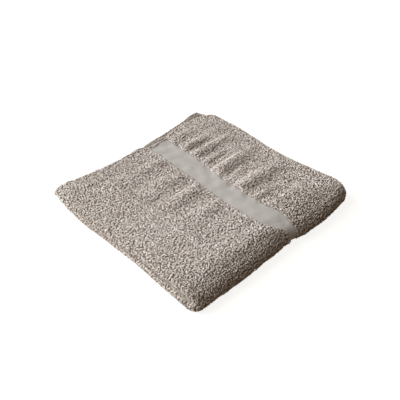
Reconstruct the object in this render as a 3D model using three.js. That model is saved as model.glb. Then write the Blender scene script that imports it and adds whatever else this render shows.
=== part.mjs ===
// A bath towel, folded end to end twice and then in half across its width.
// One length of terry cloth, with a flat woven border and a turned hem near each end.
// Millimetres, +Z up. The last fold lies along +X, the side edges at -X, the hems at +Y and
// the wrapped front fold at -Y. The origin is the middle of the underside.

import * as THREE from 'three';

// The towel as woven
const TOWEL_WIDTH = 690;
const TOWEL_LENGTH = 1400;
const TERRY_THICK = 3.6;
const BORDER_THICK = 2;
const HEM_THICK = 2.6;
const BORDER_WIDE = 43;
const BORDER_TO_HEM = 128;
const HEM_WIDE = 8;
const PILE_STEP = 2;

// The folded pad: four layers in each half, which turn together at the last fold.
// A layer's level is the distance of its middle from the heart of that fold.
const LAYER_GAP = 0.7;
const HEART_GAP = 1;
const LAYER_PITCH = TERRY_THICK + LAYER_GAP;
const INNER_LEVEL = TERRY_THICK / 2;
const THIRD_LEVEL = INNER_LEVEL + LAYER_PITCH;
const SECOND_LEVEL = INNER_LEVEL + 2 * LAYER_PITCH;
const OUTER_LEVEL = INNER_LEVEL + 3 * LAYER_PITCH;
const PAD_THICK = HEART_GAP + 8 * TERRY_THICK + 6 * LAYER_GAP;

// Each half's section: two hairpin folds, one within the wrapped front fold, one at the back
const HAIRPIN = LAYER_PITCH / 2;
const WRAP = 1.5 * LAYER_PITCH;
const PANEL = (TOWEL_LENGTH - Math.PI * (WRAP + 2 * HAIRPIN)) / 4;
const FRONT = -(PANEL + HAIRPIN - WRAP) / 2;
const BACK = FRONT + PANEL;
const OUTER_HEM = BACK + 1;
const SECOND_HEM = BACK - 3;
const BORDER_Y = OUTER_HEM - BORDER_TO_HEM - BORDER_WIDE / 2;

// Across the width: a straight run from the side edges to the last fold, and back beneath
const RUN = (TOWEL_WIDTH - Math.PI * (HEART_GAP / 2 + OUTER_LEVEL)) / 2;
const HALF_X = (RUN + PAD_THICK / 2) / 2;
const TURN_X = HALF_X - PAD_THICK / 2;
const TOP_STEPS = 36;
const TURN_STEPS = 8;
const UNDER_STEPS = 10;
const STEPS = TOP_STEPS + TURN_STEPS + UNDER_STEPS;
const HAIRPIN_STEPS = 4;
const WRAP_STEPS = 8;

// The pad bears on its four corners, and between them its underside rises by this much
const ARCH = 0.3;

// Share of its full thickness that the pad keeps once it has settled, near the side edges and
// near the last fold, and the share of the half width where the first begins to give way
const OPEN_FROM = 0.8;
const SETTLE = [
  { y: FRONT, open: 0.75, turn: 0.93 },
  { y: -110, open: 0.79, turn: 1 },
  { y: BORDER_Y - BORDER_WIDE / 2, open: 0.8, turn: 0.94 },
  { y: BORDER_Y + BORDER_WIDE / 2, open: 0.8, turn: 0.94 },
  { y: 110, open: 0.8, turn: 0.97 },
  { y: BACK, open: 0.78, turn: 0.88 },
];

// How far the last fold stands out, how far each layer's side edge does in the upper half, from
// the outer layer to the inner one, and how far the lowest layer's does
const SIDES = [
  { y: -180, turn: -6, outer: 8, second: 8, third: 8, inner: 9, under: -10 },
  { y: -165, turn: -1, outer: 14, second: 14, third: 14, inner: 15, under: 0 },
  { y: -145, turn: -1, outer: 13, second: 13, third: 13, inner: 14, under: 6 },
  { y: -110, turn: 0, outer: 6, second: 6, third: 7, inner: 8, under: 3 },
  { y: -60, turn: -1, outer: 1, second: 1, third: 3, inner: 5, under: 0 },
  { y: -12, turn: -4, outer: 2, second: 3, third: 5, inner: 9, under: -4 },
  { y: 10, turn: -5, outer: -8, second: 4, third: 7, inner: 13, under: -4 },
  { y: 42, turn: -5, outer: -8, second: 3, third: 8, inner: 16, under: -4 },
  { y: 62, turn: 0, outer: 1, second: -1, third: 5, inner: 17, under: -2 },
  { y: 92, turn: 1, outer: 5, second: 2, third: 6, inner: 20, under: -2 },
  { y: 119, turn: 0, outer: 7, second: 3, third: 8, inner: 23, under: -2 },
  { y: 145, turn: -3, outer: 6, second: 2, third: 9, inner: 28, under: -2 },
  { y: 165, turn: -7, outer: 0, second: -2, third: 9, inner: 31, under: -3 },
  { y: 180, turn: -17, outer: -12, second: -9, third: 7, inner: 30, under: -8 },
];
const LAYERS = ['outer', 'second', 'third', 'inner'];

// How far the front fold stands out, for the upper half and the lower half, how far the hem
// side does, and how far the border strays from its line. The lower half passes into the upper
// between two shares of the pad's thickness.
const LOWER_UP_TO = 0.35;
const UPPER_FROM = 0.65;
const ENDS = [
  { x: -170, front: 2, under: -7, hems: -5, border: 11 },
  { x: -155, front: 5, under: 0, hems: 3, border: 10 },
  { x: -100, front: 7, under: 4, hems: 4, border: 7 },
  { x: -40, front: 4, under: 2, hems: -1, border: 4 },
  { x: -15, front: 3, under: 2, hems: -4.5, border: 1 },
  { x: 30, front: 1, under: 1, hems: -5, border: -3 },
  { x: 90, front: 0, under: 4, hems: 1.5, border: -3 },
  { x: 130, front: -1, under: 5, hems: 7, border: 3 },
  { x: 155, front: -2, under: 4, hems: 2, border: 8 },
  { x: 170, front: -3, under: 1, hems: -6, border: 8 },
];

// Puckers that the tight border draws up in the terry beside it, as ridges of the outer layer:
// where each leaves the border, how far it leans by its end, how far it runs towards the hems
// or, below zero, towards the front fold, its height and its half width
const RIDGES = [
  { x: -145, lean: -3, run: 80, high: 3, wide: 16 },
  { x: -113, lean: -4, run: 90, high: 4, wide: 13 },
  { x: -86, lean: 0, run: 135, high: 5, wide: 16 },
  { x: -57, lean: 0, run: 75, high: 3.5, wide: 13 },
  { x: -24, lean: -4, run: 135, high: 5.5, wide: 20 },
  { x: 37, lean: -3, run: 135, high: 5.5, wide: 21 },
  { x: 69, lean: 4, run: 65, high: 3, wide: 12 },
  { x: 104, lean: 6, run: 130, high: 5, wide: 22 },
  { x: 134, lean: 0, run: 60, high: 2, wide: 17 },
  { x: 132, lean: 0, run: -75, high: 3, wide: 19 },
  { x: -62, lean: -3, run: -120, high: 4, wide: 24 },
  { x: -10, lean: -4, run: -110, high: 5, wide: 20 },
  { x: 42, lean: -4, run: -85, high: 3, wide: 22 },
  { x: -112, lean: -6, run: -150, high: 2, wide: 20 },
];
const RIDGE_START = -6;
const RIDGE_RISE = 14;
const RIDGE_HOLD = 0.3;
const RIDGE_STOPS = [-80, -45, -15, 62, 85, 135];

// Long creases that part the puckers: where each starts and ends, its depth and its half width
const CREASES = [
  { x: -101, y: 52, toX: -100, toY: 160, deep: 3.2, wide: 9 },
  { x: -45, y: 48, toX: -43, toY: 168, deep: 3.6, wide: 11 },
  { x: 18, y: 46, toX: 5, toY: 158, deep: 3.2, wide: 10 },
  { x: 57, y: 46, toX: 74, toY: 168, deep: 3.6, wide: 11 },
  { x: -31, y: -8, toX: -39, toY: -100, deep: 3.6, wide: 11 },
];
const CREASE_FADE = 0.65;

// How much of the border's width is lost where the terry on both sides of it closes up over
// the last fold
const PINCH = { share: 0.75, from: 122, to: 166, reach: 60 };

const { clamp, lerp } = THREE.MathUtils;

// Smooth step from 0 to 1
function ease(from, to, value) {
  const share = clamp((value - from) / (to - from), 0, 1);
  return share * share * (3 - 2 * share);
}

// One column of a table at a place along its key column, straight from row to row
function read(table, key, column, place) {
  const next = table.findIndex((row) => place <= row[key]);
  if (next === 0) return table[0][column];
  if (next < 0) return table[table.length - 1][column];
  const before = table[next - 1];
  const after = table[next];
  return lerp(before[column], after[column], (place - before[key]) / (after[key] - before[key]));
}

// One layer from the front fold to the back, or to its hem where it has one. Each stop of the
// section has a place y, a level t and half of the cloth's thickness there.
function layerStops(level, hem, more = []) {
  const terry = (y) => ({ y, t: level, half: TERRY_THICK / 2 });
  const flat = (y, thick) => ({ y, t: level, half: thick / 2 });
  const plain = SETTLE.map((row) => row.y).concat(more).map(terry);
  if (hem === undefined) return plain;
  const borderFront = hem - BORDER_TO_HEM - BORDER_WIDE;
  const borderBack = hem - BORDER_TO_HEM;
  const hemFront = hem - HEM_WIDE;
  const beside = plain.filter((stop) => stop.y < hemFront - PILE_STEP
    && (stop.y < borderFront - PILE_STEP || stop.y > borderBack + PILE_STEP));
  const woven = [
    terry(borderFront - PILE_STEP),
    flat(borderFront, BORDER_THICK),
    flat(borderBack, BORDER_THICK),
    terry(borderBack + PILE_STEP),
    terry(hemFront - PILE_STEP),
    flat(hemFront, HEM_THICK),
    flat(hem, HEM_THICK),
  ];
  return beside.concat(woven).sort((a, b) => a.y - b.y);
}

// The round of a fold between two levels, which bulges to side 1, the back, or -1, the front
function foldStops(centreY, fromLevel, toLevel, side, steps) {
  const radius = (toLevel - fromLevel) / 2;
  const stops = [];
  for (let step = 1; step < steps; step += 1) {
    const angle = Math.PI * step / steps;
    stops.push({
      y: centreY + side * Math.abs(radius) * Math.sin(angle),
      t: fromLevel + radius * (1 - Math.cos(angle)),
      half: TERRY_THICK / 2,
    });
  }
  return stops;
}

// The whole section, back and forth from the hidden hem to the outer hem
function sectionStops() {
  return [
    ...layerStops(SECOND_LEVEL, SECOND_HEM).reverse(),
    ...foldStops(FRONT, SECOND_LEVEL, THIRD_LEVEL, -1, HAIRPIN_STEPS),
    ...layerStops(THIRD_LEVEL),
    ...foldStops(BACK, THIRD_LEVEL, INNER_LEVEL, 1, HAIRPIN_STEPS),
    ...layerStops(INNER_LEVEL).reverse(),
    ...foldStops(FRONT, INNER_LEVEL, OUTER_LEVEL, -1, WRAP_STEPS),
    ...layerStops(OUTER_LEVEL, OUTER_HEM, RIDGE_STOPS),
  ];
}

// Height of the puckers at a place on the outer layer
function ridgeHeight(x, y) {
  const away = Math.abs(y - BORDER_Y) - BORDER_WIDE / 2;
  if (away <= 0) return 0;
  let height = 0;
  RIDGES.filter((ridge) => (ridge.run > 0) === (y > BORDER_Y)).forEach((ridge) => {
    const share = away / Math.abs(ridge.run);
    const aside = Math.abs(x - ridge.x - ridge.lean * share) / ridge.wide;
    height += ridge.high * (1 - ease(RIDGE_HOLD, 1, share)) * (1 - ease(0, 1, aside));
  });
  return height * ease(RIDGE_START, RIDGE_RISE, away);
}

// Depth of the creases at a place on the outer layer
function creaseDepth(x, y) {
  let depth = 0;
  CREASES.forEach((crease) => {
    const start = new THREE.Vector2(crease.x, crease.y);
    const way = new THREE.Vector2(crease.toX, crease.toY).sub(start);
    const here = new THREE.Vector2(x, y).sub(start);
    const share = clamp(here.dot(way) / way.lengthSq(), 0, 1);
    const aside = here.addScaledVector(way, -share).length();
    depth += crease.deep * (1 - ease(CREASE_FADE, 1, share)) * (1 - ease(0, 1, aside / crease.wide));
  });
  return depth;
}

// How far the side edge stands out at a place along a layer, or between two layers
function edgeReach(y, level, lower) {
  const layersIn = (OUTER_LEVEL - level) / LAYER_PITCH;
  const reaches = LAYERS.map((name) => read(SIDES, 'y', name, y));
  if (lower) return lerp(read(SIDES, 'y', 'under', y), reaches[3], layersIn / 3);
  const above = clamp(Math.floor(layersIn), 0, 2);
  return lerp(reaches[above], reaches[above + 1], layersIn - above);
}

// Where a point of the section, at y and height t, lies in the pad at one step of the width.
// The level is that of the middle of the cloth there.
function place(y, t, level, step) {
  const upper = step <= TOP_STEPS;
  const lower = step >= TOP_STEPS + TURN_STEPS;
  const turned = Math.PI * clamp((step - TOP_STEPS) / TURN_STEPS, 0, 1);
  const topRun = 1 - step / TOP_STEPS;
  const underRun = (step - TOP_STEPS - TURN_STEPS) / UNDER_STEPS;
  const run = upper ? topRun : Math.max(underRun, 0);

  const radius = HEART_GAP / 2 + t;
  const reach = RUN + edgeReach(y, level, lower);
  const turnOut = read(SIDES, 'y', 'turn', y);
  const x = TURN_X + radius * Math.sin(turned) - run * reach + (1 - run) * turnOut;

  const height = PAD_THICK / 2 + radius * Math.cos(turned);
  const towardsEdges = ease(HALF_X * OPEN_FROM, -HALF_X, x);
  const kept = lerp(read(SETTLE, 'y', 'turn', y), read(SETTLE, 'y', 'open', y), towardsEdges);
  const onTop = upper && t > OUTER_LEVEL - LAYER_PITCH / 2;
  const arch = ARCH * (1 - (x / HALF_X) ** 2 * (y / BACK) ** 2);
  const lift = onTop ? Math.max(ridgeHeight(x, y) - creaseDepth(x, y), 0) : 0;
  const z = height * kept + arch + lift;

  const inUpperHalf = ease(LOWER_UP_TO, UPPER_FROM, height / PAD_THICK);
  const frontOut = lerp(read(ENDS, 'x', 'under', x), read(ENDS, 'x', 'front', x), inUpperHalf);
  const nearFront = 1 - ease(FRONT, 0, y);
  const nearHems = ease(0, BACK, y);
  const nearBorder = ease(FRONT, BORDER_Y, y) * (1 - ease(BORDER_Y, OUTER_HEM, y));
  const shift = nearHems * read(ENDS, 'x', 'hems', x) + nearBorder * read(ENDS, 'x', 'border', x);
  const offBorder = y - BORDER_Y;
  const pinched = PINCH.share * ease(PINCH.from, PINCH.to, x);
  const closed = offBorder * pinched * (1 - ease(0, PINCH.reach, Math.abs(offBorder)));
  return new THREE.Vector3(x, y + shift - closed - nearFront * frontOut, z);
}

// The towel starts as a flat length of cloth, with a column of points for each stop of the
// section and a row for each step of the width. Each point is then laid in the folded pad.
function towelGeometry() {
  const stops = sectionStops();
  const spans = stops.length - 1;
  const geometry = new THREE.BoxGeometry(spans, 2, STEPS, spans, 1, STEPS);
  geometry.translate(spans / 2, 0, STEPS / 2);
  const position = geometry.getAttribute('position');
  for (let index = 0; index < position.count; index += 1) {
    const column = Math.round(position.getX(index));
    const step = Math.round(position.getZ(index));
    const stop = stops[column];
    const before = stops[Math.max(column - 1, 0)];
    const after = stops[Math.min(column + 1, spans)];
    const heading = new THREE.Vector2(after.y - before.y, after.t - before.t).normalize();
    const out = position.getY(index) * stop.half;
    const spot = place(stop.y - heading.y * out, stop.t + heading.x * out, stop.t, step);
    position.setXYZ(index, spot.x, spot.y, spot.z);
  }
  geometry.computeBoundingBox();
  const box = geometry.boundingBox;
  geometry.translate(-(box.min.x + box.max.x) / 2, -(box.min.y + box.max.y) / 2, -box.min.z);
  geometry.computeVertexNormals();
  return geometry;
}

const terry = new THREE.MeshStandardMaterial({
  name: 'terry',
  color: 0xa39c95,
  roughness: 0.95,
  metalness: 0,
});

const towel = new THREE.Mesh(towelGeometry(), terry);
towel.name = 'towel';

const group = new THREE.Group();
group.add(towel);

export default group;
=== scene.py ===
# The looks of a bath towel, folded into a pad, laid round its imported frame.
# Sizes are in millimetres until a mesh is made, and meshes are in metres.

import math

import bpy
import numpy as np
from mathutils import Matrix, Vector


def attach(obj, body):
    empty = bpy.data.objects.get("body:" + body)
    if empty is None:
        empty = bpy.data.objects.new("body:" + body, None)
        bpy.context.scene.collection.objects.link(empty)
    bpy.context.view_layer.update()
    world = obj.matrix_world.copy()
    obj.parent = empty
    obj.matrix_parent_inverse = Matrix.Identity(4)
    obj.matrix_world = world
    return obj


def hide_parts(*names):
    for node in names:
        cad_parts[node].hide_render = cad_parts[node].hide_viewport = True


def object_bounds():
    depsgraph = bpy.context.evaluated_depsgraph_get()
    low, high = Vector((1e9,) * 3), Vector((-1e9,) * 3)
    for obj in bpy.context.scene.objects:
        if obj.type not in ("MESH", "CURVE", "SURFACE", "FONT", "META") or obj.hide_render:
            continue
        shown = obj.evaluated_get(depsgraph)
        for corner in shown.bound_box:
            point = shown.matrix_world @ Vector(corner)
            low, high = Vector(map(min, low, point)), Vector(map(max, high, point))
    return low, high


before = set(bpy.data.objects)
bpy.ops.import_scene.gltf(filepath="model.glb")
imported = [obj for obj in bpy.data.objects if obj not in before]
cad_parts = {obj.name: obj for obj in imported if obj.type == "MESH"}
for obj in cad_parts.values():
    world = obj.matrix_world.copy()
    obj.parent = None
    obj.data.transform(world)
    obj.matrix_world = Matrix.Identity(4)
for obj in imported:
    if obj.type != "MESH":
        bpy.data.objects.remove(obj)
cad_low, cad_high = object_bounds()

# Metres in a millimetre
MM = 0.001

# The towel as woven
TOWEL_WIDTH = 690
TOWEL_LENGTH = 1400
TERRY_THICK = 3.6
BORDER_THICK = 2.0
HEM_THICK = 2.6
BORDER_WIDE = 43
BORDER_TO_HEM = 128
HEM_WIDE = 8
PILE_STEP = 2

# The folded pad: four layers in each half, which turn together at the last fold.
# A layer's level is the distance of its middle from the heart of that fold.
LAYER_GAP = 0.7
HEART_GAP = 1
LAYER_PITCH = TERRY_THICK + LAYER_GAP
INNER_LEVEL = TERRY_THICK / 2
THIRD_LEVEL = INNER_LEVEL + LAYER_PITCH
SECOND_LEVEL = INNER_LEVEL + 2 * LAYER_PITCH
OUTER_LEVEL = INNER_LEVEL + 3 * LAYER_PITCH
PAD_THICK = HEART_GAP + 8 * TERRY_THICK + 6 * LAYER_GAP

# Each half's section: two hairpin folds, one within the wrapped front fold, one at the back
HAIRPIN = LAYER_PITCH / 2
WRAP = 1.5 * LAYER_PITCH
PANEL = (TOWEL_LENGTH - math.pi * (WRAP + 2 * HAIRPIN)) / 4
FRONT = -(PANEL + HAIRPIN - WRAP) / 2
BACK = FRONT + PANEL
OUTER_HEM = BACK + 1
SECOND_HEM = BACK - 3
BORDER_Y = OUTER_HEM - BORDER_TO_HEM - BORDER_WIDE / 2

# Across the width: a straight run from the side edges to the last fold, and back beneath
TURN = math.pi * (HEART_GAP / 2 + OUTER_LEVEL)
RUN = (TOWEL_WIDTH - TURN) / 2
HALF_X = (RUN + PAD_THICK / 2) / 2
TURN_X = HALF_X - PAD_THICK / 2

# The pad bears on its four corners, and between them its underside rises by this much
ARCH = 0.3

# Share of its full thickness that the settled pad keeps, near the side edges and near the last
# fold, and the share that it loses again where its top slopes down into that fold. The second
# passes into the first from OPEN_START on, and the slope begins at SLOPE_START.
OPEN_START = 0.8 * HALF_X
SLOPE_START = TURN_X - 42
SETTLE = [
    dict(y=FRONT, open=0.75, turn=0.93, slope=0.16),
    dict(y=-110, open=0.79, turn=1, slope=0.2),
    dict(y=BORDER_Y - BORDER_WIDE / 2, open=0.8, turn=0.94, slope=0.18),
    dict(y=BORDER_Y + BORDER_WIDE / 2, open=0.8, turn=0.94, slope=0.18),
    dict(y=110, open=0.8, turn=0.97, slope=0.18),
    dict(y=BACK, open=0.78, turn=0.88, slope=0.08),
]

# How far the last fold stands out, how far each layer's side edge does in the upper half, from
# the outer layer to the inner one, and how far the lowest layer's does
SIDES = [
    dict(y=-180, turn=-6, outer=8, second=8, third=8, inner=9, under=-10),
    dict(y=-165, turn=-1, outer=14, second=14, third=14, inner=15, under=0),
    dict(y=-145, turn=-1, outer=13, second=13, third=13, inner=14, under=6),
    dict(y=-110, turn=0, outer=6, second=6, third=7, inner=8, under=3),
    dict(y=-60, turn=-1, outer=1, second=1, third=3, inner=5, under=0),
    dict(y=-12, turn=-4, outer=2, second=3, third=5, inner=9, under=-4),
    dict(y=10, turn=-5, outer=-8, second=4, third=7, inner=13, under=-4),
    dict(y=42, turn=-5, outer=-8, second=3, third=8, inner=16, under=-4),
    dict(y=62, turn=0, outer=1, second=-1, third=5, inner=17, under=-2),
    dict(y=92, turn=1, outer=5, second=2, third=6, inner=20, under=-2),
    dict(y=119, turn=0, outer=7, second=3, third=8, inner=23, under=-2),
    dict(y=145, turn=-3, outer=6, second=2, third=9, inner=28, under=-2),
    dict(y=165, turn=-7, outer=0, second=-2, third=9, inner=31, under=-3),
    dict(y=180, turn=-17, outer=-12, second=-9, third=7, inner=30, under=-8),
]

# How far the front fold stands out, upper half and lower half, how far the hem side does, and
# how far the border strays from its line. The lower half passes into the upper between two
# shares of the pad's thickness.
LOWER_UP_TO = 0.35
UPPER_FROM = 0.65
ENDS = [
    dict(x=-170, front=2, under=-7, hems=-5, border=11),
    dict(x=-155, front=5, under=0, hems=3, border=10),
    dict(x=-100, front=7, under=4, hems=4, border=7),
    dict(x=-40, front=4, under=2, hems=-1, border=4),
    dict(x=-15, front=3, under=2, hems=-4.5, border=1),
    dict(x=30, front=1, under=1, hems=-5, border=-3),
    dict(x=90, front=0, under=4, hems=1.5, border=-3),
    dict(x=130, front=-1, under=5, hems=7, border=3),
    dict(x=155, front=-2, under=4, hems=2, border=8),
    dict(x=170, front=-3, under=1, hems=-6, border=8),
]

# Puckers that the tight border draws up in the terry beside it, as ridges of the outer layer:
# where each leaves the border, how far it leans by its end, how far it runs towards the hems
# or, below zero, towards the front fold, its height and its half width
RIDGES = [
    dict(x=-145, lean=-3, run=80, high=3, wide=16),
    dict(x=-113, lean=-4, run=90, high=4, wide=13),
    dict(x=-86, lean=0, run=135, high=5, wide=16),
    dict(x=-57, lean=0, run=75, high=3.5, wide=13),
    dict(x=-24, lean=-4, run=135, high=5.5, wide=20),
    dict(x=37, lean=-3, run=135, high=5.5, wide=21),
    dict(x=69, lean=4, run=65, high=3, wide=12),
    dict(x=112, lean=6, run=130, high=2.8, wide=30),
    dict(x=134, lean=0, run=60, high=1, wide=20),
    dict(x=130, lean=0, run=-150, high=3, wide=24),
    dict(x=-62, lean=-3, run=-120, high=4, wide=24),
    dict(x=-10, lean=-4, run=-110, high=5, wide=20),
    dict(x=42, lean=-4, run=-85, high=3, wide=22),
    dict(x=-112, lean=-6, run=-150, high=2, wide=20),
]

# Beyond the border's edge the relief grows to its full height between these two distances, the
# first of them within the border, and a ridge holds its height for a share of its run
RIDGE_START = -6
RIDGE_RISE = 14
RIDGE_HOLD = 0.3

# Creases that part the puckers: where each starts and ends, its depth and its half width
CREASES = [
    dict(x=-123, y=55, to_x=-132, to_y=110, deep=2.4, wide=8),
    dict(x=-101, y=52, to_x=-100, to_y=160, deep=3.2, wide=9),
    dict(x=-70, y=52, to_x=-71, to_y=92, deep=2.2, wide=7),
    dict(x=-45, y=48, to_x=-43, to_y=168, deep=3.6, wide=11),
    dict(x=-2, y=47, to_x=-9, to_y=92, deep=2.2, wide=7),
    dict(x=18, y=46, to_x=5, to_y=158, deep=3.2, wide=10),
    dict(x=57, y=46, to_x=74, to_y=168, deep=3.6, wide=11),
    dict(x=82, y=46, to_x=77, to_y=92, deep=2.4, wide=7),
    dict(x=92, y=58, to_x=84, to_y=168, deep=3, wide=9),
    dict(x=-31, y=-8, to_x=-39, to_y=-100, deep=3.6, wide=11),
    dict(x=22, y=-4, to_x=5, to_y=-72, deep=2.2, wide=11),
    dict(x=-140, y=-60, to_x=-140, to_y=-160, deep=2.4, wide=10),
]

# The share of its length that a crease runs before it fades out, and the most that the relief
# may sink below the cloth's own level
CREASE_FADE = 0.65
DEEPEST = 1.7

# The small gathers that the border draws up along each of its edges, short ones and long ones,
# and the ripples of the border itself
GATHERS = [
    dict(high=0.7, long=14, reach=18, seed=5),
    dict(high=1.5, long=30, reach=75, seed=6),
]
BORDER_RIPPLES = dict(high=0.6, long=26, seed=8)

# How far the border's edges waver, in full up to start from its middle and not at all past
# reach, and how much of its width is lost where the terry on both sides of it closes up over
# the last fold
WAVER = dict(high=1.3, long=28, start=BORDER_WIDE / 4, reach=40, seed=9)
PINCH = dict(share=0.85, start=114, end=158, reach=60)

# How unevenly the side edges lie: by height and length, with what sets the wavering of one
# layer apart from the next one's, and that of the lower half from the upper half's
EDGE_WOBBLE = dict(high=0.8, long=45, layers_apart=9, halves_apart=200, seed=3)

# Soft lumps of the cloth that shows, broad ones and small ones, by height and length, and the
# share of them on what is woven flat. From a share of the way round the last fold they fade out.
LUMPS = [
    dict(high=0.5, long=75, seed=21),
    dict(high=0.35, long=24, seed=22),
]
WOVEN_LUMPS = 0.4
LUMPS_FADE = 0.9

# A ripple is a sum of waves. These are their number, their lengths as shares of the usual one,
# and what scales their sum to lie mostly between -1 and 1.
RIPPLE_WAVES = 7
RIPPLE_LENGTHS = (0.7, 1.5)
RIPPLE_PEAK = 1.6

# How finely the cloth is meshed, along it and across it
OUTER_SPACING = 3.2
INNER_SPACING = 14
HAIRPIN_STEPS = 6
WRAP_STEPS = 14
TOP_ROW = 3.2
UNDER_ROW = 9
TURN_ROWS = 18

# The hem's round end by angle, and the side edges' by distance from the very edge, where the
# cloth keeps only a small share of its thickness
HEM_ROUND = (30, 60, 80)
HEM_STOPS = len(HEM_ROUND) + 1
EDGE_ROUND = (0.0, 0.5, 1.1, 1.8)
EDGE_TIP = 0.12

# Stops of the front fold that stay bare, in the notch between the two halves, and the row where
# the part of the inner layer that stands out at the side edges ends
NOTCH_STEPS = 2
STEP_ROWS = 9

# The pile: loops of yarn that stand on the ground cloth, which lies lower to leave them room.
# Their roots are in it, a pitch apart with some scatter, and drawn a little together in tufts.
# A tuft's middle lies within a range of its cell, with spare cells past the ends of a patch, and
# the patches' seeds count up from the first.
PILE_ROOM = 2.0
ROOT_DEPTH = 0.4
PITCH = 2.6
SCATTER = 0.3 * PITCH
TUFT = 5.2
TUFT_PULL = 0.22
TUFT_MIDDLE = (0.15, 0.85)
SPARE_CELLS = 4
FIRST_SEED = 11

# A loop's length, height and yarn, with the shares by which they vary from loop to loop, and the
# ranges of its lean and of its bend to the side. A tuft's loops are taller or shorter together.
LOOP = dict(long=4.0, high=1.3, yarn=0.78)
LONG_VARIES = (0.75, 1.25)
HIGH_VARIES = (-0.2, 0.2)
YARN_VARIES = (0.85, 1.15)
LEAN_RANGE = (-1.3, 1.3)
BEND_RANGE = (-0.8, 0.8)
TUFT_HIGH = 0.1

# How light the loops are: on the whole, how far tufts and single loops stray from it, and the
# least and the most
TONE = dict(middle=0.72, tuft=0.07, loop=0.13, least=0.3, most=1)

# Loops on the side edges and the hems are lower. Those on the upper half's side edges and on the
# inner layer's step are darker, with painted shade.
EDGE_HIGH = 0.55
EDGE_PAINTED_SHADE = 0.55
STEP_PAINTED_SHADE = 0.5

# Where the cloth bends into the last fold its loops part and stand up more, and they are darker,
# partly as more of their roots shows and partly as painted shade of the fold: from where across
# the pad, the shares of tone and length that they lose and of height that they gain, and how
# much faster their painted shade deepens towards their roots
PARTED = dict(
    start=TURN_X - 10,
    end=TURN_X + 12,
    darker=0.26,
    narrower=0.25,
    taller=0.4,
    deeper=1.2,
)

# Loops that would pass through the surface beneath the towel are pressed flat upon it
PRESSED_BELOW = 1.0
PRESSED_TO = 0.1


def ease(start, end, value):
    """Smooth step from 0 to 1."""
    share = np.clip((value - start) / (end - start), 0, 1)
    return share * share * (3 - 2 * share)


def read(table, key, column, place):
    """One column of a table at a place along its key column, straight from row to row."""
    return np.interp(place, [row[key] for row in table], [row[column] for row in table])


def ripple(x, y, length, seed):
    """A gentle unevenness, mostly between -1 and 1, with features about length long."""
    draw = np.random.default_rng(seed)
    total = 0
    for _ in range(RIPPLE_WAVES):
        heading = draw.uniform(0, 2 * math.pi)
        scale = 2 * math.pi / (length * draw.uniform(*RIPPLE_LENGTHS))
        phase = draw.uniform(0, 2 * math.pi)
        total = total + np.sin(scale * (x * math.cos(heading) + y * math.sin(heading)) + phase)
    return total / math.sqrt(RIPPLE_WAVES) / RIPPLE_PEAK


def ridge_height(x, y):
    """Height of the puckers at a place on the outer layer."""
    away = np.abs(y - BORDER_Y) - BORDER_WIDE / 2
    height = 0
    for ridge in RIDGES:
        share = away / abs(ridge["run"])
        aside = np.abs(x - ridge["x"] - ridge["lean"] * share) / ridge["wide"]
        own_side = (y > BORDER_Y) == (ridge["run"] > 0)
        one = ridge["high"] * (1 - ease(RIDGE_HOLD, 1, share)) * (1 - ease(0, 1, aside))
        height = height + one * own_side
    for gather in GATHERS:
        one = gather["high"] * ripple(x, 0 * y, gather["long"], gather["seed"])
        height = height + one * (1 - ease(0, gather["reach"], away))
    ripples = ripple(x, y, BORDER_RIPPLES["long"], BORDER_RIPPLES["seed"])
    height = height * ease(RIDGE_START, RIDGE_RISE, away) * (away > 0)
    return height + BORDER_RIPPLES["high"] * ripples * (1 - ease(RIDGE_START, RIDGE_RISE, away))


def crease_depth(x, y):
    """Depth of the creases at a place on the outer layer."""
    depth = 0
    for crease in CREASES:
        run_x = crease["to_x"] - crease["x"]
        run_y = crease["to_y"] - crease["y"]
        share = (x - crease["x"]) * run_x + (y - crease["y"]) * run_y
        share = np.clip(share / (run_x ** 2 + run_y ** 2), 0, 1)
        aside = np.hypot(x - crease["x"] - share * run_x, y - crease["y"] - share * run_y)
        fade = 1 - ease(CREASE_FADE, 1, share)
        depth = depth + crease["deep"] * fade * (1 - ease(0, 1, aside / crease["wide"]))
    return depth


def edge_reach(y, level, lower):
    """How far the side edge stands out at a place along a layer, or between two layers."""
    layers_in = (OUTER_LEVEL - level) / LAYER_PITCH
    columns = [read(SIDES, "y", name, y) for name in ("outer", "second", "third", "inner")]
    upper = columns[-1]
    for number in (2, 1, 0):
        share = np.clip(layers_in - number, 0, 1)
        upper = columns[number] + (upper - columns[number]) * share
    under = read(SIDES, "y", "under", y)
    return np.where(lower, under + (columns[-1] - under) * layers_in / 3, upper)


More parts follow.
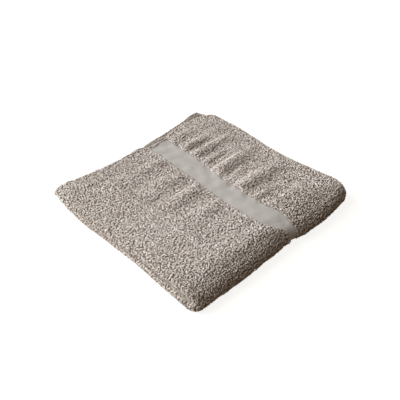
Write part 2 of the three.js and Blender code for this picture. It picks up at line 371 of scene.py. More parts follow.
def place(y, t, cross, level):
    """Where a point of the section, at y and height t, lies in the pad at one place across.

    cross is below 0 along the upper half, from 0 to 1 round the last fold and above 1 beneath.
    level is that of the middle of the cloth there.
    """
    upper = cross <= 0
    lower = cross >= 1
    turned = math.pi * np.clip(cross, 0, 1)
    run = np.where(upper, -cross, np.where(lower, cross - 1, 0))

    radius = HEART_GAP / 2 + t
    strip = level * EDGE_WOBBLE["layers_apart"] + lower * EDGE_WOBBLE["halves_apart"]
    wobble = EDGE_WOBBLE["high"] * ripple(y, strip, EDGE_WOBBLE["long"], EDGE_WOBBLE["seed"])
    reach = RUN + edge_reach(y, level, lower) + wobble * run
    turn_out = read(SIDES, "y", "turn", y)
    x = TURN_X + radius * np.sin(turned) - run * reach + (1 - run) * turn_out

    height = PAD_THICK / 2 + radius * np.cos(turned)
    towards_edges = ease(OPEN_START, -HALF_X, x)
    kept_turn = read(SETTLE, "y", "turn", y)
    kept = kept_turn + (read(SETTLE, "y", "open", y) - kept_turn) * towards_edges
    kept = kept * (1 - read(SETTLE, "y", "slope", y) * ease(SLOPE_START, HALF_X, x))
    arch = ARCH * (1 - (x / HALF_X) ** 2 * (y / BACK) ** 2)
    lift = ridge_height(x, y) - crease_depth(x, y)
    lift = np.where(t > OUTER_LEVEL, np.maximum(lift, -DEEPEST), np.maximum(lift, 0))
    on_top = upper & (t > OUTER_LEVEL - LAYER_PITCH / 2)
    z = height * kept + arch + np.where(on_top, lift, 0)

    in_upper_half = ease(LOWER_UP_TO, UPPER_FROM, height / PAD_THICK)
    front_under = read(ENDS, "x", "under", x)
    front_out = front_under + (read(ENDS, "x", "front", x) - front_under) * in_upper_half
    near_front = 1 - ease(FRONT, 0, y)
    near_hems = ease(0, BACK, y)
    near_border = ease(FRONT, BORDER_Y, y) * (1 - ease(BORDER_Y, OUTER_HEM, y))
    shift = near_hems * read(ENDS, "x", "hems", x) + near_border * read(ENDS, "x", "border", x)
    off_border = y - BORDER_Y
    beside = 1 - ease(WAVER["start"], WAVER["reach"], np.abs(off_border))
    shift = shift + WAVER["high"] * ripple(x, y, WAVER["long"], WAVER["seed"]) * beside
    pinched = PINCH["share"] * ease(PINCH["start"], PINCH["end"], x)
    shift = shift - off_border * pinched * (1 - ease(0, PINCH["reach"], np.abs(off_border)))
    return np.stack([x, y + shift - near_front * front_out, z], axis=-1)


# What is woven at a stop of the section
TERRY, BORDER, HEM = 0, 1, 2


def layer(level, hem, spacing, piled):
    """Stops of one layer from the front fold to the back, or to its hem where it has one.

    A stop has a place, a level, half of the cloth's thickness there, whether its face carries
    the modelled pile, and what is woven.
    """
    half = TERRY_THICK / 2
    stops = []

    def run(start, end, thick, kind):
        """Adds even stops of one kind of cloth."""
        count = max(2, round((end - start) / spacing) + 1)
        for y in np.linspace(start, end, count):
            stops.append((y, level, thick, piled * (kind == TERRY), kind))

    if hem is None:
        run(FRONT, BACK, half, TERRY)
        return stops
    border_front = hem - BORDER_TO_HEM - BORDER_WIDE
    border_back = hem - BORDER_TO_HEM
    run(FRONT, border_front - PILE_STEP, half, TERRY)
    run(border_front, border_back, BORDER_THICK / 2, BORDER)
    run(border_back + PILE_STEP, hem - HEM_WIDE - PILE_STEP, half, TERRY)
    run(hem - HEM_WIDE, hem - HEM_THICK / 2, HEM_THICK / 2, HEM)
    for angle in HEM_ROUND:
        turn = math.radians(angle)
        y = hem - HEM_THICK / 2 * (1 - math.sin(turn))
        stops.append((y, level, HEM_THICK / 2 * math.cos(turn), 0, HEM))
    return stops


def fold(centre, from_level, to_level, side, steps, piled):
    """Stops round a fold between two levels, which bulges to side 1 or -1."""
    radius = (to_level - from_level) / 2
    stops = []
    for step in range(1, steps):
        angle = math.pi * step / steps
        y = centre + side * abs(radius) * math.sin(angle)
        t = from_level + radius * (1 - math.cos(angle))
        stops.append((y, t, TERRY_THICK / 2, piled, TERRY))
    return stops


def section():
    """The whole section, from the hidden hem to the outer hem, and where each part of it is."""
    parts = dict(
        second=layer(SECOND_LEVEL, SECOND_HEM, INNER_SPACING, 0)[::-1],
        front_hairpin=fold(FRONT, SECOND_LEVEL, THIRD_LEVEL, -1, HAIRPIN_STEPS, 0),
        third=layer(THIRD_LEVEL, None, INNER_SPACING, 0),
        back_hairpin=fold(BACK, THIRD_LEVEL, INNER_LEVEL, 1, HAIRPIN_STEPS, 0),
        inner=layer(INNER_LEVEL, None, INNER_SPACING, 0)[::-1],
        wrap=fold(FRONT, INNER_LEVEL, OUTER_LEVEL, -1, WRAP_STEPS, 1),
        outer=layer(OUTER_LEVEL, OUTER_HEM, OUTER_SPACING, 1),
    )
    stops = []
    columns = {}
    for name, part in parts.items():
        columns[name] = np.arange(len(stops), len(stops) + len(part))
        stops += part
    return np.array(stops), columns


def crossings():
    """Places across the width, with the share of its thickness that the cloth has at each."""
    rounding = np.array(EDGE_ROUND)
    thick = np.sqrt(1 - (1 - rounding / EDGE_ROUND[-1]) ** 2)
    thick[0] = EDGE_TIP
    top = np.linspace(RUN - EDGE_ROUND[-1], 0, round(RUN / TOP_ROW))[1:]
    under = np.linspace(0, RUN - EDGE_ROUND[-1], round(RUN / UNDER_ROW))[1:-1]
    turn = np.linspace(0, 1, TURN_ROWS + 1)[1:]
    cross = np.concatenate([
        -(RUN - rounding) / RUN,
        -top / RUN,
        turn,
        1 + under / RUN,
        1 + (RUN - rounding[::-1]) / RUN,
    ])
    full = len(top) + len(turn) + len(under)
    return cross, np.concatenate([thick, np.ones(full), thick[::-1]])


def distances(stops, cross):
    """Distance along the cloth of each stop, and across it of each crossing."""
    along = np.hypot(np.diff(stops[:, 0]), np.diff(stops[:, 1]))
    along = np.concatenate([[0], np.cumsum(along)])
    across = np.where(cross > 0, np.clip(cross, 0, 1) * TURN, cross * RUN)
    return along, across + np.maximum(cross - 1, 0) * RUN


def fold_cloth(stops, cross, thick, room, lumps):
    """The face and the back of the cloth as grids: columns along it, rows across it."""
    y, t, half, piled, kind = stops.T
    heading = np.gradient(np.stack([y, t]), axis=1)
    heading /= np.linalg.norm(heading, axis=0)
    sides = []
    for side, reach in ((1, half - room * piled), (-1, half)):
        out = reach[:, None] * thick[None, :] + (lumps if side > 0 else 0)
        at_y = y[:, None] - side * heading[1][:, None] * out
        at_t = t[:, None] + side * heading[0][:, None] * out
        across = np.broadcast_to(cross, at_y.shape)
        sides.append(place(at_y, at_t, across, t[:, None]))
    return sides


def soft_lumps(stops, columns, cross, thick):
    """Unevenness of the outer layer and the wrap, pressed flat beneath."""
    along, across = distances(stops, cross)
    along, across = np.meshgrid(along, across, indexing="ij")
    lumps = 0
    for size in LUMPS:
        lumps = lumps + size["high"] * ripple(along, across, size["long"], size["seed"])
    shows = np.zeros(len(stops))
    shows[columns["wrap"]] = 1
    shows[columns["outer"]] = np.where(stops[columns["outer"], 4] == TERRY, 1, WOVEN_LUMPS)
    raised = ease(1, LUMPS_FADE, cross)
    return lumps * shows[:, None] * (thick * raised)[None, :]


def mesh_object(name, points, faces, materials, kinds=None):
    """A smooth mesh object from points in millimetres and faces of three or four corners."""
    mesh = bpy.data.meshes.new(name)
    corners = faces.shape[1]
    mesh.vertices.add(len(points))
    mesh.vertices.foreach_set("co", (points * MM).astype(np.float32).ravel())
    mesh.loops.add(faces.size)
    mesh.loops.foreach_set("vertex_index", faces.astype(np.int32).ravel())
    mesh.polygons.add(len(faces))
    mesh.polygons.foreach_set("loop_start", np.arange(len(faces), dtype=np.int32) * corners)
    if kinds is not None:
        mesh.polygons.foreach_set("material_index", kinds.astype(np.int32))
    mesh.update(calc_edges=True)
    mesh.shade_smooth()
    for material in materials:
        mesh.materials.append(material)
    thing = bpy.data.objects.new(name, mesh)
    bpy.context.scene.collection.objects.link(thing)
    return thing


def add_values(thing, name, values):
    """Stores one number for each point of a mesh, for its material to read."""
    attribute = thing.data.attributes.new(name, "FLOAT", "POINT")
    attribute.data.foreach_set("value", np.asarray(values, dtype=np.float32))


def grid_faces(columns, rows, offset, flip):
    """Quads over one grid of points, with the column that each starts at."""
    column, row = np.meshgrid(np.arange(columns - 1), np.arange(rows - 1), indexing="ij")
    first = offset + column * rows + row
    quads = np.stack([first, first + 1, first + rows + 1, first + rows], axis=-1).reshape(-1, 4)
    return (quads[:, ::-1] if flip else quads), column.ravel()


def rim_faces(columns, rows):
    """Quads that join the two grids along their shared rim, with the column of each."""
    second = columns * rows
    ring = [column * rows for column in range(columns)]
    ring += [(columns - 1) * rows + row for row in range(1, rows)]
    ring += [column * rows + rows - 1 for column in range(columns - 2, -1, -1)]
    ring += list(range(rows - 2, 0, -1))
    ring = np.array(ring)
    after = np.roll(ring, -1)
    return np.stack([ring, after, after + second, ring + second], axis=-1), ring // rows


# The cloth's materials, by place in its list
GROUND, WOVEN, PRESSED = 0, 1, 2


def make_cloth(face, reverse, stops, cross, first_outer, materials):
    """The cloth itself: both sides, closed round the rim."""
    columns, rows = face.shape[:2]
    kind = stops[:, 4]
    points = np.concatenate([face.reshape(-1, 3), reverse.reshape(-1, 3)])
    face_quads, face_column = grid_faces(columns, rows, 0, False)
    back_quads, back_column = grid_faces(columns, rows, columns * rows, True)
    rim_quads, rim_column = rim_faces(columns, rows)
    quads = np.concatenate([face_quads, back_quads, rim_quads])
    column = np.concatenate([face_column, back_column, rim_column])
    after = np.minimum(column + 1, columns - 1)
    row = quads[:, 0] % rows
    look = np.where((cross[row] >= 1) & (column >= first_outer), PRESSED, GROUND)
    look = np.where((kind[column] > TERRY) & (kind[after] > TERRY), WOVEN, look)
    cloth = mesh_object("towel_cloth", points, quads, materials, look)
    along, across = distances(stops, cross)
    along, across = np.meshgrid(along * MM, across * MM, indexing="ij")
    add_values(cloth, "along", np.tile(along.ravel(), 2))
    add_values(cloth, "across", np.tile(across.ravel(), 2))
    return cloth


# A loop of yarn: an arch of a few rings that starts and ends within the ground cloth. The nudge
# keeps a ring's direction from vanishing where the yarn runs straight up.
RINGS = 4
SIDES_ROUND = 4
NUDGE = 1e-4


def loop_faces():
    """Triangles of one loop, with its points in the order tip, rings, tip."""
    faces = []
    last = 1 + RINGS * SIDES_ROUND
    for side in range(SIDES_ROUND):
        after = (side + 1) % SIDES_ROUND
        faces.append((0, 1 + after, 1 + side))
        for ring in range(RINGS - 1):
            here = 1 + ring * SIDES_ROUND + side
            beside = 1 + ring * SIDES_ROUND + after
            faces.append((here, beside, beside + SIDES_ROUND))
            faces.append((here, beside + SIDES_ROUND, here + SIDES_ROUND))
        end = 1 + (RINGS - 1) * SIDES_ROUND
        faces.append((end + side, end + after, last))
    return np.array(faces)


def press(points):
    """Flattens what lies close to the surface beneath the towel, or below it."""
    room = PRESSED_BELOW - PRESSED_TO
    z = points[..., 2]
    low = PRESSED_TO + room * np.exp(np.minimum(z - PRESSED_BELOW, 0) / room)
    settled = np.where(z < PRESSED_BELOW, low, z)
    return np.concatenate([points[..., :2], settled[..., None]], axis=-1)


def make_loops(name, roots, up, along, long, high, lean, bend, yarn, tone, fall, material):
    """Joined loops: each arches from root to root along its heading and leans to its side.

    Its tone falls to 0 at its roots as painted shade, the faster the larger its fall.
    """
    count = len(roots)
    side = np.cross(up, along)
    long, high, lean, bend, yarn = (
        np.broadcast_to(values, (count,))[:, None] for values in (long, high, lean, bend, yarn)
    )
    spans = np.linspace(0, 1, RINGS + 2)
    rise = np.sin(math.pi * spans)
    path = np.stack([
        roots - along * (math.cos(math.pi * span) / 2 * long) + up * (arch * high)
        + side * (lean * arch + bend * math.sin(2 * math.pi * span))
        for span, arch in zip(spans, rise)
    ], axis=1)
    points = [path[:, :1]]
    for ring in range(1, RINGS + 1):
        ahead = path[:, ring + 1] - path[:, ring - 1]
        ahead /= np.linalg.norm(ahead, axis=1, keepdims=True)
        over = up - ahead * np.sum(up * ahead, axis=1, keepdims=True) + along * NUDGE
        over /= np.linalg.norm(over, axis=1, keepdims=True)
        across = np.cross(ahead, over)
        for turn in range(SIDES_ROUND):
            angle = 2 * math.pi * (turn + 0.5) / SIDES_ROUND
            spot = path[:, ring] + yarn * (across * math.cos(angle) + over * math.sin(angle))
            points.append(spot[:, None])
    points.append(path[:, -1:])
    points = press(np.concatenate(points, axis=1))
    faces = loop_faces()[None] + np.arange(count)[:, None, None] * points.shape[1]
    thing = mesh_object(name, points.reshape(-1, 3), faces.reshape(-1, 3), [material])
    # Painted shade: a point's tone falls with its ring's height, to nothing at the roots
    share = np.concatenate([[0], np.repeat(rise[1:-1], SIDES_ROUND), [0]])
    add_values(thing, "tone", (tone[:, None] * share[None, :] ** fall[:, None]).ravel())
    return thing


class Surface:
    """One side of a stretch of cloth, to stand loops on by distance along and across."""

    def __init__(self, grid, outward):
        """Takes a grid of points, and 1 or -1 for the side of it that faces out."""
        self.grid = grid
        self.outward = outward
        self.along = self.steps(grid[:, grid.shape[1] // 2])
        self.across = self.steps(grid[grid.shape[0] // 2])

    @staticmethod
    def steps(line):
        """Distance of each point of a line from its first."""
        gaps = np.linalg.norm(np.diff(line, axis=0), axis=1)
        return np.concatenate([[0], np.cumsum(gaps)])

    def at(self, along, across):
        """Points, unit normals and headings at distances along and across."""
        column = np.interp(along, self.along, np.arange(len(self.along)))
        row = np.interp(across, self.across, np.arange(len(self.across)))
        before = np.minimum(column.astype(int), len(self.along) - 2)
        below = np.minimum(row.astype(int), len(self.across) - 2)
        past = (column - before)[:, None]
        above = (row - below)[:, None]
        first = self.grid[before, below]
        ahead = self.grid[before + 1, below]
        beside = self.grid[before, below + 1]
        far = self.grid[before + 1, below + 1]
        lower = first * (1 - past) + ahead * past
        upper = beside * (1 - past) + far * past
        point = lower * (1 - above) + upper * above
        run = (ahead - first) * (1 - above) + (far - beside) * above
        turn = (beside - first) * (1 - past) + (far - ahead) * past
        normal = np.cross(turn, run) * self.outward
        normal /= np.linalg.norm(normal, axis=1, keepdims=True)
        run /= np.linalg.norm(run, axis=1, keepdims=True)
        return point, normal, run


def tufted(along, across, draw):
    """Draws roots part of the way to the middle of their tuft, and gives each its tuft's tone.

    Each cell of a square grid holds the middle of one tuft, and a root belongs to the nearest.
    """
    cells_along = int(along.max() / TUFT) + SPARE_CELLS
    cells_across = int(across.max() / TUFT) + SPARE_CELLS
    jitter = draw.uniform(*TUFT_MIDDLE, (cells_along, cells_across, 2))
    nearest = np.full(len(along), np.inf)
    middle = np.zeros((len(along), 2))
    tuft = np.zeros(len(along), dtype=int)
    for step_along in (0, 1, 2):
        for step_across in (0, 1, 2):
            column = (along / TUFT).astype(int) + step_along
            row = (across / TUFT).astype(int) + step_across
            cell = np.stack([column - 1, row - 1], axis=1)
            spot = (cell + jitter[column, row]) * TUFT
            away = np.hypot(along - spot[:, 0], across - spot[:, 1])
            closer = away < nearest
            nearest = np.where(closer, away, nearest)
            middle = np.where(closer[:, None], spot, middle)
            tuft = np.where(closer, column * cells_across + row, tuft)
    along = along + (middle[:, 0] - along) * TUFT_PULL
    across = across + (middle[:, 1] - across) * TUFT_PULL
    return along, across, draw.normal(0, 1, (cells_along + 1) * cells_across)[tuft]


def stand_pile(name, surface, seed, material, high, painted_shade):
    """Fills a surface with loops on a loose grid, tufted and turned as in washed terry."""
    draw = np.random.default_rng(seed)
    far_along = surface.along[-1]
    far_across = surface.across[-1]
    along, across = np.meshgrid(
        np.linspace(0, far_along, max(2, round(far_along / PITCH) + 1)),
        np.linspace(0, far_across, max(2, round(far_across / PITCH) + 1)),
    )
    along = along.ravel()
    across = across.ravel()
    count = len(along)
    along = np.clip(along + draw.normal(0, SCATTER, count), 0, far_along)
    across = np.clip(across + draw.normal(0, SCATTER, count), 0, far_across)
    along, across, tuft_tone = tufted(along, across, draw)
    along = np.clip(along, 0, far_along)
    across = np.clip(across, 0, far_across)
    root, normal, run = surface.at(along, across)
    turned = draw.uniform(0, 2 * math.pi, count)[:, None]
    heading = run * np.cos(turned) + np.cross(normal, run) * np.sin(turned)
    long = LOOP["long"] * draw.uniform(*LONG_VARIES, count)
    taller = TUFT_HIGH * tuft_tone + draw.uniform(*HIGH_VARIES, count)
    tall = high * LOOP["high"] * (1 + taller)
    lean = draw.uniform(*LEAN_RANGE, count)
    bend = draw.uniform(*BEND_RANGE, count)
    yarn = LOOP["yarn"] * draw.uniform(*YARN_VARIES, count)
    tone = TONE["middle"] + TONE["tuft"] * tuft_tone + draw.normal(0, TONE["loop"], count)
    tone = np.clip(tone, TONE["least"], TONE["most"])
    # Partly painted shade: into the last fold the loops darken, and faster towards their roots
    parted = ease(PARTED["start"], PARTED["end"], root[:, 0])
    tone = tone * (1 - PARTED["darker"] * parted)
    long = long * (1 - PARTED["narrower"] * parted)
    tall = tall * (1 + PARTED["taller"] * parted)
    fall = 1 + PARTED["deeper"] * parted
    # A patch's painted shade darkens all of its loops
    return make_loops(
        name, root - normal * ROOT_DEPTH, normal, heading, long, tall + ROOT_DEPTH,
        lean, bend, yarn, tone * painted_shade, fall, material,
    )


def add(tree, kind, **values):
    """Adds a node and sets its sockets and settings by name."""
    node = tree.nodes.new(kind)
    for key, value in values.items():
        if key in node.inputs:
            node.inputs[key].default_value = value
        else:
            setattr(node, key, value)
    return node


def shader(name, roughness, sheen):
    """A new material, its node tree and its main shader."""
    material = bpy.data.materials.new(name)
    material.use_nodes = True
    tree = material.node_tree
    principled = tree.nodes["Principled BSDF"]
    principled.inputs["Roughness"].default_value = roughness
    principled.inputs["Specular IOR Level"].default_value = 0.2
    principled.inputs["Sheen Weight"].default_value = sheen
    principled.inputs["Sheen Roughness"].default_value = 0.5
    return material, tree, principled


def ramp(tree, source, stops):
    """A colour ramp over a source, from pairs of place and colour."""
    node = tree.nodes.new("ShaderNodeValToRGB")
    elements = node.color_ramp.elements
    while len(elements) < len(stops):
        elements.new(0.5)
    for element, (spot, colour) in zip(elements, stops):
        element.position = spot
        element.color = (*colour, 1)
    tree.links.new(source, node.inputs["Fac"])
    return node.outputs["Color"]


def noise(tree, scale, detail):
    """Noise fixed to the object, scale features to the metre."""
    coordinates = tree.nodes.new("ShaderNodeTexCoord")
    node = add(tree, "ShaderNodeTexNoise", Scale=scale, Detail=detail)
    tree.links.new(coordinates.outputs["Object"], node.inputs["Vector"])
    return node.outputs["Fac"]


def stored(tree, name):
    """A number that the mesh keeps for each point."""
    return add(tree, "ShaderNodeAttribute", attribute_name=name).outputs["Fac"]


def multiply(tree, first, second):
    """Product of two colours."""
    node = tree.nodes.new("ShaderNodeMix")
    node.data_type = "RGBA"
    node.blend_type = "MULTIPLY"
    node.inputs["Factor"].default_value = 1.0
    tree.links.new(first, node.inputs["A"])
    tree.links.new(second, node.inputs["B"])
    return node.outputs["Result"]


def bump(tree, principled, source, strength, distance, below=None):
    """Gives a shader the relief of a source, over an earlier relief if there is one."""
    node = add(tree, "ShaderNodeBump", Strength=strength, Distance=distance)
    tree.links.new(source, node.inputs["Height"])
    if below is not None:
        tree.links.new(below, node.inputs["Normal"])
    tree.links.new(node.outputs["Normal"], principled.inputs["Normal"])
    return node.outputs["Normal"]


# The grey-brown cotton, from the painted shade at the roots of the loops to their tips
COTTON_ROOT_PAINTED_SHADE = (0.16, 0.12, 0.09)
COTTON_LOW = (0.43, 0.38, 0.335)
COTTON_HIGH = (0.66, 0.613, 0.578)
COTTON_TIP = (0.81, 0.768, 0.74)


def pile_material():
    """Grey-brown cotton loops, with painted shade towards their roots, darker in faint broad
    patches.
    """
    material, tree, principled = shader("terry_loops", roughness=0.95, sheen=0.2)
    # The ramp's low end is painted shade towards the loops' roots
    yarn = ramp(tree, stored(tree, "tone"), [
        (0.0, COTTON_ROOT_PAINTED_SHADE),
        (0.45, COTTON_LOW),
        (0.75, COTTON_HIGH),
        (1.0, COTTON_TIP),
    ])
    patches = noise(tree, scale=22, detail=3)
    patch = ramp(tree, patches, [(0.3, (0.93, 0.92, 0.91)), (0.7, (1, 1, 1))])
    tree.links.new(multiply(tree, yarn, patch), principled.inputs["Base Color"])
    fibres = noise(tree, scale=1500, detail=2)
    bump(tree, principled, fibres, strength=0.6, distance=0.0004)
    return material


def ground_material():
    """The ground cloth between the loops and the terry of the hidden layers, dark as painted
    shade.
    """
    material, tree, principled = shader("terry_ground_painted_shade", roughness=0.95, sheen=0.1)
    # Its dark colours are painted shade between the loops and on the hidden layers
    colour = ramp(tree, noise(tree, scale=300, detail=3), [
        (0.38, (0.15, 0.125, 0.105)),
        (0.62, (0.36, 0.32, 0.285)),
    ])
    tree.links.new(colour, principled.inputs["Base Color"])
    bump(tree, principled, noise(tree, scale=400, detail=3), strength=0.9, distance=0.0015)
    return material


def pressed_material():
    """The pile beneath the towel, pressed flat by its weight."""
    material, tree, principled = shader("terry_pressed", roughness=0.95, sheen=0.2)
    loops = noise(tree, scale=420, detail=3)
    colour = ramp(tree, loops, [
        (0.38, (0.24, 0.205, 0.175)),
        (0.5, (0.47, 0.425, 0.385)),
        (0.62, COTTON_HIGH),
    ])
    tree.links.new(colour, principled.inputs["Base Color"])
    bump(tree, principled, loops, strength=1.0, distance=0.0015)
    return material


def woven_material():
    """The flat woven border, the hem and the side edges: close ribs of yarn."""
    material, tree, principled = shader("flat_weave", roughness=0.85, sheen=0.1)
    colour = ramp(tree, noise(tree, scale=60, detail=4), [
        (0.35, (0.355, 0.335, 0.32)),
        (0.65, (0.39, 0.369, 0.353)),
    ])
    tree.links.new(colour, principled.inputs["Base Color"])
    place_on_cloth = tree.nodes.new("ShaderNodeCombineXYZ")
    tree.links.new(stored(tree, "along"), place_on_cloth.inputs["X"])
    tree.links.new(stored(tree, "across"), place_on_cloth.inputs["Y"])
    ribs = add(tree, "ShaderNodeTexWave", Scale=285, Distortion=0.6)
    tree.links.new(place_on_cloth.outputs["Vector"], ribs.inputs["Vector"])
    threads = noise(tree, scale=900, detail=2)
    relief = bump(tree, principled, threads, strength=0.3, distance=0.0004)
    bump(tree, principled, ribs.outputs["Fac"], strength=0.35, distance=0.0003, below=relief)
    return material


# The camera at the photograph's angle, for a picture of 400 by 400 pixels
CAMERA_AZIMUTH = 46.06
CAMERA_ELEVATION = 40.0
CAMERA_DISTANCE = 1097.5
CAMERA_TARGET = (13.0, -11.2, 15.6)
FOCAL_PIXELS = 660
IMAGE_PIXELS = 400
SENSOR = 36
NEAREST = 10


def make_camera():
    """The camera, turned to its target, with a lens that frames it as the photograph does."""
    data = bpy.data.cameras.new("camera")
    data.sensor_width = SENSOR
    data.lens = FOCAL_PIXELS / IMAGE_PIXELS * SENSOR
    data.clip_start = NEAREST * MM
    thing = bpy.data.objects.new("camera", data)
    bpy.context.scene.collection.objects.link(thing)
    azimuth = math.radians(CAMERA_AZIMUTH)
    elevation = math.radians(CAMERA_ELEVATION)
    back = Vector((
        math.sin(azimuth) * math.cos(elevation),
        -math.cos(azimuth) * math.cos(elevation),
        math.sin(elevation),
    ))
    thing.location = (Vector(CAMERA_TARGET) + back * CAMERA_DISTANCE) * MM
    thing.rotation_euler = back.to_track_quat("Z", "Y").to_euler()
    bpy.context.scene.camera = thing


# Lamps: the direction that a distant one shines from, with its spread in degrees, and where a
# near one hangs, with its width, in metres
LAMPS = [
    dict(name="lamp_low", kind="SUN", x=-0.86, y=-0.4, z=0.41, strength=4.15, spread=30),
    dict(name="lamp_high", kind="SUN", x=-0.7, y=-0.45, z=0.6, strength=1.2, spread=60),
    dict(name="lamp_near", kind="AREA", x=-0.18, y=-0.62, z=0.7, strength=4.7, spread=0.6),
]
LAMP_COLOUR = (0.97, 0.985, 1.0)

# How far the floor reaches to each side, in metres. The camera sees the floor and the surround
# as white, and the towel gets a weaker, warm light from them.
FLOOR_REACH = 12
FLOOR_SEEN = (0.25, 0.25, 0.25, 1)
FLOOR_GLOW = (0.885, 0.875, 0.86, 1)
FLOOR_THROWN = (0.5, 0.39, 0.29, 1)
SURROUND_SEEN = (1, 1, 1, 1)
SURROUND_THROWN = (1, 0.76, 0.55, 1)
SURROUND_STRENGTH = 0.19


def make_lamps():
    """Soft studio lamps, all turned to the towel."""
    for lamp in LAMPS:
        data = bpy.data.lights.new(lamp["name"], lamp["kind"])
        data.energy = lamp["strength"]
        data.color = LAMP_COLOUR
        if lamp["kind"] == "SUN":
            data.angle = math.radians(lamp["spread"])
        else:
            data.size = lamp["spread"]
        thing = bpy.data.objects.new(lamp["name"], data)
        thing.location = (lamp["x"], lamp["y"], lamp["z"])
        thing.rotation_euler = thing.location.to_track_quat("Z", "Y").to_euler()
        bpy.context.scene.collection.objects.link(thing)


def seen_and_thrown(tree, seen, thrown):
    """Mixes two shaders: one for what the camera sees, one for the light thrown on the towel."""
    path = tree.nodes.new("ShaderNodeLightPath")
    mix = tree.nodes.new("ShaderNodeMixShader")
    tree.links.new(path.outputs["Is Camera Ray"], mix.inputs[0])
    tree.links.new(thrown, mix.inputs[1])
    tree.links.new(seen, mix.inputs[2])
    return mix.outputs[0]


def make_floor():
    """A plain white floor, bright enough that only a light shadow stays on it."""
    mesh = bpy.data.meshes.new("floor")
    far = FLOOR_REACH
    corners = [(-far, -far, 0), (far, -far, 0), (far, far, 0), (-far, far, 0)]
    mesh.from_pydata(corners, [], [(0, 1, 2, 3)])
    floor = bpy.data.objects.new("floor", mesh)
    bpy.context.scene.collection.objects.link(floor)
    material = bpy.data.materials.new("floor_white")
    material.use_nodes = True
    tree = material.node_tree
    tree.nodes.clear()
    lit = add(tree, "ShaderNodeBsdfDiffuse", Color=FLOOR_SEEN)
    glow = add(tree, "ShaderNodeEmission", Color=FLOOR_GLOW, Strength=1.0)
    seen = tree.nodes.new("ShaderNodeAddShader")
    tree.links.new(lit.outputs[0], seen.inputs[0])
    tree.links.new(glow.outputs[0], seen.inputs[1])
    thrown = add(tree, "ShaderNodeBsdfDiffuse", Color=FLOOR_THROWN)
    output = tree.nodes.new("ShaderNodeOutputMaterial")
    mixed = seen_and_thrown(tree, seen.outputs[0], thrown.outputs[0])
    tree.links.new(mixed, output.inputs["Surface"])
    mesh.materials.append(material)


def make_surround():
    """A plain white surround."""
    world = bpy.data.worlds.new("studio")
    world.use_nodes = True
    tree = world.node_tree
    tree.nodes.clear()
    seen = add(tree, "ShaderNodeBackground", Color=SURROUND_SEEN, Strength=1.0)
    thrown = add(
        tree, "ShaderNodeBackground", Color=SURROUND_THROWN, Strength=SURROUND_STRENGTH,
    )
    output = tree.nodes.new("ShaderNodeOutputWorld")
    mixed = seen_and_thrown(tree, seen.outputs[0], thrown.outputs[0])
    tree.links.new(mixed, output.inputs["Surface"])
    bpy.context.scene.world = world


make_camera()
make_lamps()
make_floor()
make_surround()
bpy.context.scene.view_settings.view_transform = "Standard"

loops_look = pile_material()
ground_look = ground_material()
woven_look = woven_material()
pressed_look = pressed_material()

stops, columns = section()
cross, thick = crossings()

# The plain pad, without pile or lumps, is as wide and as deep as the CAD box, so it gives the
# way across the floor from the section's frame to the part's
plain = np.concatenate(fold_cloth(stops, cross, thick, 0, 0)).reshape(-1, 3)
part_middle = (np.array(cad_low) + np.array(cad_high)) / 2 / MM
to_part = part_middle - (plain.min(axis=0) + plain.max(axis=0)) / 2
to_part[2] = 0

lumps = soft_lumps(stops, columns, cross, thick)
face, reverse = fold_cloth(stops, cross, thick, PILE_ROOM, lumps)
face = face + to_part
reverse = reverse + to_part
looks = [ground_look, woven_look, pressed_look]
cloth = make_cloth(face, reverse, stops, cross, columns["outer"][0], looks)

# Stretches of the grid along the cloth, and then across it
outer = columns["outer"]
border = outer[stops[outer, 4] == BORDER]
wrap = np.append(columns["wrap"][NOTCH_STEPS:], outer[0])
to_border = np.arange(wrap[0], border[0] + 1)
to_hem = np.arange(border[-1], outer[-1] + 1)
front_way = len(to_border) // 2
hem_way = len(to_hem) // 2
every_column = np.arange(len(stops))
every_row = np.arange(len(cross))
top = every_row[cross <= 0]
turn = every_row[(cross >= 0) & (cross <= 1)]
under = every_row[cross >= 1]
edge = np.arange(len(EDGE_ROUND))
step_rows = every_row[edge[-1]:STEP_ROWS]


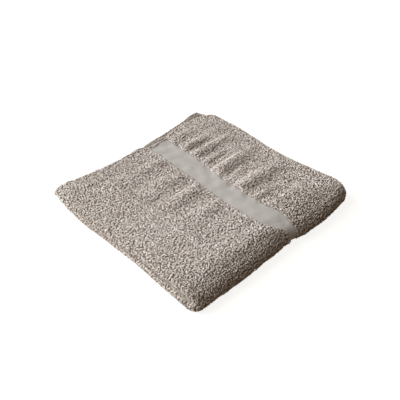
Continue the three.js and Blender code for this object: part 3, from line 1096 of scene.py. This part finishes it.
def wrapped(columns, rows):
    """Points over the edge of the cloth: its face up to the edge, then its back away from it."""
    strip = np.ix_(columns, rows)
    if len(columns) < len(rows):
        return np.concatenate([face[strip], reverse[strip][::-1]], axis=0)
    return np.concatenate([face[strip], reverse[strip][:, ::-1]], axis=1)


# The stretches that carry loops, each with the side of its grid that faces out and, where they
# differ from the rest, how high its loops are and how much painted shade darkens them
PATCHES = [
    dict(name="pile_top_front_1", grid=face[np.ix_(to_border[:front_way + 1], top)], out=1),
    dict(name="pile_top_front_2", grid=face[np.ix_(to_border[front_way:], top)], out=1),
    dict(name="pile_top_hems_1", grid=face[np.ix_(to_hem[:hem_way + 1], top)], out=1),
    dict(name="pile_top_hems_2", grid=face[np.ix_(to_hem[hem_way:], top)], out=1),
    dict(name="pile_turn_front", grid=face[np.ix_(to_border, turn)], out=1),
    dict(name="pile_turn_hems", grid=face[np.ix_(to_hem, turn)], out=1),
    dict(name="pile_wrap_under", grid=face[np.ix_(wrap, under)], out=1),
    dict(
        name="pile_side_edge_upper",
        grid=wrapped(every_column, edge[::-1]),
        out=-1,
        high=EDGE_HIGH,
        painted_shade=EDGE_PAINTED_SHADE,
    ),
    dict(
        name="pile_side_edge_lower",
        grid=wrapped(every_column, every_row[-len(edge):]),
        out=1,
        high=EDGE_HIGH,
    ),
    dict(
        name="pile_outer_hem",
        grid=wrapped(outer[-HEM_STOPS:], every_row),
        out=1,
        high=EDGE_HIGH,
    ),
    dict(
        name="pile_second_hem",
        grid=wrapped(every_column[:HEM_STOPS][::-1], every_row),
        out=-1,
        high=EDGE_HIGH,
    ),
    dict(name="pile_hairpin", grid=face[np.ix_(columns["back_hairpin"], every_row)], out=1),
    dict(
        name="pile_step_inner",
        grid=reverse[np.ix_(columns["inner"], step_rows)],
        out=-1,
        painted_shade=STEP_PAINTED_SHADE,
    ),
]
piles = []
for number, patch in enumerate(PATCHES):
    surface = Surface(patch["grid"], patch["out"])
    high = patch.get("high", 1)
    painted_shade = patch.get("painted_shade", 1)
    seed = FIRST_SEED + number
    piles.append(stand_pile(patch["name"], surface, seed, loops_look, high, painted_shade))

for thing in [cloth] + piles:
    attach(thing, "root")
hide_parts("towel")
